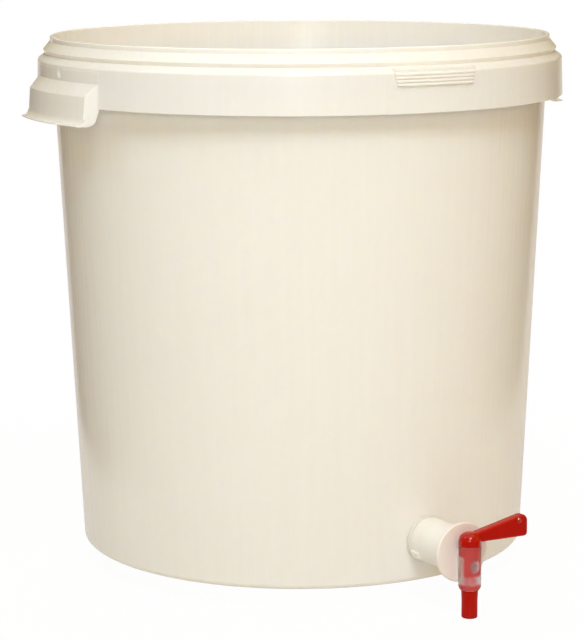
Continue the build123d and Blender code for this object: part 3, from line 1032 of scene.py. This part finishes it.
tapSizes = {
    "high": 30.0,
    "shank": 13.2,
    "shankBore": 11.0,
    "holeGap": 0.4,
    "holeReach": 20.0,        # the cutter of the hole reaches this far in and out of the wall
    "outerSeal": 2.3,
    "innerSeal": 3.0,
    "neck": 15.6,
    "neckLength": 36.3,
    "neckFillet": 4.2,
    "neckEdge": 0.6,
    "disc": 20.6,
    "discThick": 3.2,
    "discEdge": (0.7, 0.9),   # behind and in front
    "chamberCorner": 1.5,
    "lugReach": 1.4,
    "lugWidth": 6.5,
    "lugLength": 8.5,
    "lugCorner": 1.2,
    "lugEdge": 0.6,
    "lugSunk": 1.0,           # the lug's foot lies this far inside the shank's radius
    "lugAngle": 121.0,
    "nutFlange": 2.5,
    "nutThick": 8.0,
    "shankProud": 3.0,
    "shankEdge": 0.4,
    "shankStep": (0.5, 0.3),  # length and rounding of the step behind the thread
    "threadPitch": 2.5,
    "threadDepth": 0.7,
    "threadFoot": 2.1,        # width of the thread's ridge at its sunk foot, and at its crest
    "threadCrest": 0.6,
    "threadSunk": 0.3,        # the ridge's foot lies this deep in the shank
    "threadRunOut": 1.4,      # plain shank before the thread starts and after it ends
    "threadSteps": 90,        # in each turn
    "barrel": 7.66,
    "barrelHeight": 30.4,
    "barrelRise": 6.8,
    "barrelChamfer": 2.0,
    "barrelEdge": 0.4,
    "barrelWaist": 1.5,       # rounding above the chamfer
    "barrelTint": 0.05,       # faces up to this far outside the barrel are clear too
    "bridgeWidth": 9.0,
    "bridgeMargin": 3.5,
    "bridgeCorner": 1.2,
    "portDrop": 7.0,
    "port": 3.5,
    "portSteps": 48,
    "socketGap": -0.01,       # the plug is a press fit, so the barrel shows its red through
    "socketLead": (1.0, 0.4),         # cone at the socket's mouth: widening at the cutter's end, and height
    "steps": 96,
}
tapMiddle = Vector((0, 0, tapSizes["high"]))
outward = Vector((0, -1, 0))
wallHere = wallAt(tapSizes["high"])
neckStart = wallHere + tapSizes["outerSeal"]
discBack = neckStart + tapSizes["neckLength"]
discFront = discBack + tapSizes["discThick"]
nutFace = wallHere - shellSizes["wall"] - tapSizes["innerSeal"]
nutEnd = nutFace - tapSizes["nutFlange"] - tapSizes["nutThick"]
shankEnd = nutEnd - tapSizes["shankProud"]
barrelTop = tapSizes["high"] + tapSizes["barrelRise"]
barrelLow = barrelTop - tapSizes["barrelHeight"]
portHigh = tapSizes["high"] - tapSizes["portDrop"]
barrelFoot = Vector((0, -barrelAway, 0))


def alongTap(distance, rise=0.0):
    return tapMiddle + outward * distance + upright * rise


def makeBucket():
    turnedBy = collarSizes["mouldingTurn"]
    both = (turnedBy, turnedBy + 180)
    body = bucketShell()
    combine(body, copiesAround(gripBody(), both), "UNION")
    combine(body, copiesAround(gripHollow(), both), "DIFFERENCE")
    combine(body, copiesAround(gripDimple(), both), "DIFFERENCE")
    print("bucket: shell and grips")
    step = 360 / collarSizes["ribCount"]
    ribs = [step * (number + 0.5) for number in range(collarSizes["ribCount"])]
    clear = [angle + turnedBy for angle in ribs if 90 - abs(angle % 180 - 90) > gripHalfAngle()]
    combine(body, copiesAround(collarRib(), clear), "UNION")
    combine(body, copiesAround(thumbPad(), [turnedBy - 90]), "UNION")
    tears = [turnedBy - 90 + side * padSizes["tearTurn"] for side in (-1, 1)]
    combine(body, copiesAround(tearLine(), tears), "DIFFERENCE")
    reach = tapSizes["holeReach"]
    hole = rod("tapHole", tapSizes["shank"] + tapSizes["holeGap"],
               alongTap(wallHere - reach), alongTap(wallHere + reach), tapSizes["steps"])
    combine(body, hole, "DIFFERENCE")
    plastic = mouldedPlastic("naturalPolypropylene", bucketLook)
    finishPiece(body, "bucketMoulding", "bucket", "bucket", plastic)


# Tap

def tapRing(name, corners):
    # turned about the tap's axis; each corner is (radius, distance from the bucket's axis, rounding)
    ring = drawOutline(name, corners, tapMiddle, up=outward)
    return turn(ring, tapSizes["steps"], centre=tapMiddle, axis=outward)


def barrelRing(name, corners, steps):
    # turned about the barrel's upright axis
    return turn(drawOutline(name, corners, barrelFoot), steps, centre=barrelFoot)


def wallCone(inset):
    low, high = tapSizes["high"] - sealSizes["coneHalf"], tapSizes["high"] + sealSizes["coneHalf"]
    cone = drawOutline("wallCone", [
        (0, low, 0), (wallAt(low) - inset, low, 0), (wallAt(high) - inset, high, 0), (0, high, 0)])
    return turn(cone, shellSizes["steps"])


sealSizes = {
    "outerRadius": 16.6,
    "innerRadius": 18.5,
    "clear": 0.1,
    "seat": 0.25,             # gap to the round wall
    "coneHalf": 24.0,
    "edge": 0.6,
    "boreEdge": 0.3,
}


def washer(name, radius):
    bore = tapSizes["shank"] + sealSizes["clear"]
    return tapRing(name, [
        (bore, nutFace, sealSizes["boreEdge"]), (radius, nutFace, sealSizes["edge"]),
        (radius, neckStart, sealSizes["edge"]), (bore, neckStart, sealSizes["boreEdge"])])


def makeSeals():
    outer = washer("outerWasher", sealSizes["outerRadius"])
    combine(outer, wallCone(-sealSizes["seat"]), "DIFFERENCE")
    inner = washer("innerWasher", sealSizes["innerRadius"])
    combine(inner, wallCone(shellSizes["wall"] + sealSizes["seat"]), "INTERSECT")
    rubber = mouldedPlastic("paleSealRubber", sealLook)
    finishPiece(outer, "outerWasher", "bucket", "outer_seal", rubber)
    finishPiece(inner, "innerWasher", "bucket", "inner_seal", rubber)


nutSizes = {
    "flangeRadius": 20.5,
    "acrossFlats": 33.0,
    "clear": 0.1,
    "corner": 0.6,
    "edge": 0.5,
    "chamfer": 1.6,
    "leadIn": (1.6, 0.7),     # cone at the bore's mouth: widening at the cutter's end, and depth
}


def makeNut():
    bore = tapSizes["shank"] + nutSizes["clear"]
    corner = nutSizes["acrossFlats"] / 2 / cos(radians(30))
    corners = [(corner * cos(radians(turned)), corner * sin(radians(turned)), nutSizes["corner"])
               for turned in range(0, 360, 60)]
    hexagon = slab("nutHexagon", corners, tapSizes["nutThick"] + cutPast,
                   alongTap(nutEnd + (tapSizes["nutThick"] + cutPast) / 2))
    crown = tapRing("nutCrown", [
        (0, nutEnd, 0), (corner - nutSizes["chamfer"], nutEnd, 0),
        (corner + cutPast, nutEnd + nutSizes["chamfer"], 0), (corner + cutPast, nutFace, 0), (0, nutFace, 0)])
    combine(hexagon, crown, "INTERSECT")
    flange = tapRing("nutFlange", [
        (0, nutFace - tapSizes["nutFlange"], 0),
        (nutSizes["flangeRadius"], nutFace - tapSizes["nutFlange"], nutSizes["edge"]),
        (nutSizes["flangeRadius"], nutFace, nutSizes["edge"]),
        (0, nutFace, 0)])
    combine(hexagon, flange, "UNION")
    wider, deep = nutSizes["leadIn"]
    opening = tapRing("nutOpening", [
        (0, nutEnd - cutPast, 0), (bore + wider, nutEnd - cutPast, 0), (bore, nutEnd + deep, 0),
        (bore, nutFace + cutPast, 0), (0, nutFace + cutPast, 0)])
    combine(hexagon, opening, "DIFFERENCE")
    plastic = mouldedPlastic("whiteNutPlastic", nutLook)
    finishPiece(hexagon, "backNut", "bucket", "back_nut", plastic)


def neckLug(angle):
    # rounded tab on the neck; the angle is from the top of the neck to the left, seen from outside
    reach = tapSizes["neck"] + tapSizes["lugReach"]
    swing = radians(angle)
    side, top = Vector((cos(swing), 0, sin(swing))), Vector((-sin(swing), 0, cos(swing)))
    half = tapSizes["lugWidth"] / 2
    foot = tapSizes["shank"] - tapSizes["lugSunk"]
    lug = slab("neckLug", [
        (-half, foot, 0), (half, foot, 0),
        (half, reach, tapSizes["lugCorner"]), (-half, reach, tapSizes["lugCorner"]),
    ], tapSizes["lugLength"], alongTap(neckStart + tapSizes["lugLength"] / 2), side, top)
    roundSharp(lug, tapSizes["lugEdge"])
    return lug


def shankThread():
    # one ridge wound along the shank, which the nut screws onto
    crest = tapSizes["shank"]
    inside = crest - tapSizes["threadDepth"] - tapSizes["threadSunk"]
    start = shankEnd + tapSizes["threadRunOut"]
    turns = (nutFace - tapSizes["threadRunOut"] - start) / tapSizes["threadPitch"]
    foot, top = tapSizes["threadFoot"] / 2, tapSizes["threadCrest"] / 2
    ridge = drawOutline("shankThread", [
        (inside, start - foot, 0), (crest, start - top, 0),
        (crest, start + top, 0), (inside, start + foot, 0),
    ], up=outward)
    only(ridge)
    wind = ridge.modifiers.new("wind", "SCREW")
    wind.axis = "Y"
    wind.angle = -2 * pi * turns    # right-handed
    wind.screw_offset = -tapSizes["threadPitch"] * turns
    wind.steps = wind.render_steps = round(tapSizes["threadSteps"] * turns)
    bpy.ops.object.modifier_apply(modifier=wind.name)
    edit(ridge)
    bpy.ops.mesh.fill_holes(sides=0)
    settle(ridge)
    ridge.location = tapMiddle
    applyPlace(ridge)
    return ridge


def makeTapBody():
    root = tapSizes["shank"] - tapSizes["threadDepth"]
    stepLength, stepCorner = tapSizes["shankStep"]
    edgeBehind, edgeInFront = tapSizes["discEdge"]
    neck = tapRing("tapNeck", [
        (tapSizes["shankBore"], shankEnd, tapSizes["shankEdge"]),
        (root, shankEnd, tapSizes["shankEdge"]),
        (root, nutFace, stepCorner),
        (tapSizes["shank"], nutFace + stepLength, 0),
        (tapSizes["shank"], neckStart, 0),
        (tapSizes["neck"], neckStart, tapSizes["neckEdge"]),
        (tapSizes["neck"], discBack, tapSizes["neckFillet"]),
        (tapSizes["disc"], discBack, edgeBehind),
        (tapSizes["disc"], discFront, edgeInFront),
        (0, discFront, 0),
        (0, discBack, 0),
        (tapSizes["shankBore"], discBack, tapSizes["chamberCorner"]),
    ])
    combine(neck, shankThread(), "UNION")
    for angle in (tapSizes["lugAngle"], tapSizes["lugAngle"] - 180):
        combine(neck, neckLug(angle), "UNION")
    barrel = barrelRing("barrel", [
        (0, barrelLow, 0),
        (tapSizes["barrel"] - tapSizes["barrelChamfer"] / 2, barrelLow, tapSizes["barrelEdge"]),
        (tapSizes["barrel"], barrelLow + tapSizes["barrelChamfer"], tapSizes["barrelWaist"]),
        (tapSizes["barrel"], barrelTop, tapSizes["barrelEdge"]),
        (0, barrelTop, 0),
    ], tapSizes["steps"])
    bridgeLow, bridgeTop = barrelLow + tapSizes["bridgeMargin"], barrelTop - tapSizes["bridgeMargin"]
    bridgeLength = barrelAway - discFront + tapSizes["discThick"] / 2
    across = oblong(tapSizes["bridgeWidth"] / 2, bridgeLow, bridgeTop, tapSizes["bridgeCorner"])
    bridge = slab("bridge", across, bridgeLength, outward * (barrelAway - bridgeLength / 2))
    combine(barrel, bridge, "UNION")
    combine(neck, barrel, "UNION")
    port = rod("port", tapSizes["port"], alongTap(discBack - cutPast, rise=-tapSizes["portDrop"]),
               alongTap(barrelAway, rise=-tapSizes["portDrop"]), tapSizes["portSteps"])
    combine(neck, port, "DIFFERENCE")
    socketRadius = plugSizes["radius"] + tapSizes["socketGap"]
    leadWide, leadHigh = tapSizes["socketLead"]
    socket = barrelRing("socket", [
        (0, barrelLow - cutPast, 0),
        (socketRadius + leadWide, barrelLow - cutPast, 0),
        (socketRadius, barrelLow + leadHigh, 0),
        (socketRadius, barrelTop + cutPast, 0),
        (0, barrelTop + cutPast, 0),
    ], tapSizes["steps"])
    combine(neck, socket, "DIFFERENCE")
    finishPiece(neck, "tapBody", "bucket", "tap_body", milkyPlastic())
    neck.data.materials.append(mouldedPlastic("clearPolyethylene", barrelLook))
    edit(neck)
    reach = (tapSizes["barrel"] + tapSizes["barrelTint"]) * toMetres
    axis = barrelFoot * toMetres
    pick(neck, "FACE", lambda face: (face.calc_center_median() - axis).to_2d().length < reach)
    neck.active_material_index = 1
    bpy.ops.object.material_slot_assign()
    leaveEdit()


# Plug with its lever and spout

plugSizes = {
    "radius": 5.95,
    "capGap": 0.25,
    "bore": 3.8,
    "boreRise": 6.5,
    "window": (6.2, 8.6),
    "windowFlat": 0.01,       # left straight in the middle of its round ends
    "boreEdge": 0.5,
    "boreTopCorner": 1.0,
    "relief": 0.45,
    "reliefCorner": 0.2,
    "reliefStep": 0.03,       # the sides are this much shallower than the ring groove
    "reliefSteps": 31,
    "landLow": 3.6,
    "landTop": 7.4,
    "reliefRing": 6.2,
    "frontLand": 146.0,
    "backLand": 100.0,
    "spout": 5.45,            # straight end for a hose
    "spoutStraight": 12.0,
    "spoutEdge": 0.8,
    "spoutRoot": 5.8,
    "spoutLength": 19.8,
    "dome": 7.7,
    "domeHeight": 9.0,
    "domeEdge": 6.0,
    "domeFoot": 0.4,
    "leverLength": 46.3,
    "leverThick": 7.4,
    "leverGap": 2.0,          # over the barrel, at the root
    "leverFall": 1.4,         # the lower edge falls by this much to the tip
    "leverRoot": 6.2,
    "leverTip": 16.5,
    "leverTopCorner": 5.0,
    "leverLowCorner": 2.6,
    "leverEdge": 1.9,
    "leverEdgeSteps": 6,
    "leverSharp": 45,         # edges sharper than this angle are rounded
    "gate": 0.6,              # dimple of the moulding gate above the window
    "gateRise": 5.4,
    "pip": 2.4,               # low round pip on the front of the lever
    "pipProud": 1.0,
    "pipFromTip": 7.5,
    "pipFromTop": 3.2,
    "steps": 96,
}
leverLow = barrelTop + plugSizes["leverGap"]
leverTip = leverLow - plugSizes["leverFall"]
pipAlong = plugSizes["leverLength"] - plugSizes["pipFromTip"]
pipShare = pipAlong / plugSizes["leverLength"]
pipHigh = (leverLow + plugSizes["leverRoot"]) * (1 - pipShare) + (leverTip + plugSizes["leverTip"]) * pipShare
pipDeep = plugSizes["pip"] - plugSizes["pipProud"] - plugSizes["leverThick"] / 2
pipMiddle = barrelFoot + Vector((pipAlong, pipDeep, pipHigh - plugSizes["pipFromTop"]))
gateMiddle = barrelFoot + Vector((0, -plugSizes["radius"], portHigh + plugSizes["gateRise"]))


def plugRelief(low, high, start, arc):
    # tool for one relieved side of the plug, from the ring groove up
    floor = plugSizes["radius"] - plugSizes["relief"] + plugSizes["reliefStep"]
    clear = plugSizes["radius"] + cutPast
    ring = drawOutline("relief", [
        (floor, low, 0), (clear, low, 0), (clear, high, 0), (floor, high, plugSizes["reliefCorner"])])
    ring.rotation_euler.z = radians(start)
    applyPlace(ring)
    turn(ring, plugSizes["reliefSteps"], arc)
    ring.location = barrelFoot
    applyPlace(ring)
    return ring


def makeLever():
    # a plain blade that widens to its tip, with well rounded edges and a pip near the tip
    length = plugSizes["leverLength"]
    lever = slab("lever", [
        (0, leverLow, 0),
        (length, leverTip, plugSizes["leverLowCorner"]),
        (length, leverTip + plugSizes["leverTip"], plugSizes["leverTopCorner"]),
        (0, leverLow + plugSizes["leverRoot"], 0),
    ], plugSizes["leverThick"], barrelFoot)
    roundSharp(lever, plugSizes["leverEdge"], plugSizes["leverEdgeSteps"], plugSizes["leverSharp"])
    combine(lever, ball("pip", plugSizes["pip"], pipMiddle), "UNION")
    return lever


def makePlug():
    tip = barrelLow - plugSizes["spoutLength"]
    cap = barrelTop + plugSizes["capGap"]
    boreTop = portHigh + plugSizes["boreRise"]
    ringLow = barrelLow + plugSizes["landLow"]
    ringHigh = ringLow + plugSizes["reliefRing"]
    groove = plugSizes["radius"] - plugSizes["relief"]
    plug = barrelRing("plug", [
        (plugSizes["bore"], tip, plugSizes["boreEdge"]),
        (plugSizes["spout"], tip, plugSizes["spoutEdge"]),
        (plugSizes["spout"], tip + plugSizes["spoutStraight"], 0),
        (plugSizes["spoutRoot"], barrelLow, 0),
        (plugSizes["radius"], barrelLow, 0),
        (plugSizes["radius"], ringLow, 0),
        (groove, ringLow, plugSizes["reliefCorner"]),
        (groove, ringHigh, plugSizes["reliefCorner"]),
        (plugSizes["radius"], ringHigh, 0),
        (plugSizes["radius"], cap, 0),
        (plugSizes["dome"], cap, plugSizes["domeFoot"]),
        (plugSizes["dome"], cap + plugSizes["domeHeight"], plugSizes["domeEdge"]),
        (0, cap + plugSizes["domeHeight"], 0),
        (0, boreTop, 0),
        (plugSizes["bore"], boreTop, plugSizes["boreTopCorner"]),
    ], plugSizes["steps"])
    combine(plug, makeLever(), "UNION")
    sidesLow, sidesTop = ringHigh - plugSizes["reliefRing"] / 2, barrelTop - plugSizes["landTop"]
    sideArc = (360 - plugSizes["frontLand"] - plugSizes["backLand"]) / 2
    for start in (-90 + plugSizes["frontLand"] / 2, 90 + plugSizes["backLand"] / 2):
        combine(plug, plugRelief(sidesLow, sidesTop, start, sideArc), "DIFFERENCE")
    wide, tall = plugSizes["window"]
    oval = oblong(wide / 2, portHigh - tall / 2, portHigh + tall / 2, wide / 2 - plugSizes["windowFlat"])
    window = slab("window", oval, 2 * plugSizes["radius"], outward * (barrelAway + plugSizes["radius"]))
    combine(plug, window, "DIFFERENCE")
    combine(plug, ball("gate", plugSizes["gate"], gateMiddle), "DIFFERENCE")
    finishPiece(plug, "tapPlug", "plug", "tap_plug", plugPlastic())


placeCamera()
placeLamps()
layFloor()
print("camera, lamps and floor are in place")
makeBucket()
makeSeals()
makeNut()
makeTapBody()
makePlug()

bpy.context.scene.view_settings.view_transform = "Standard"
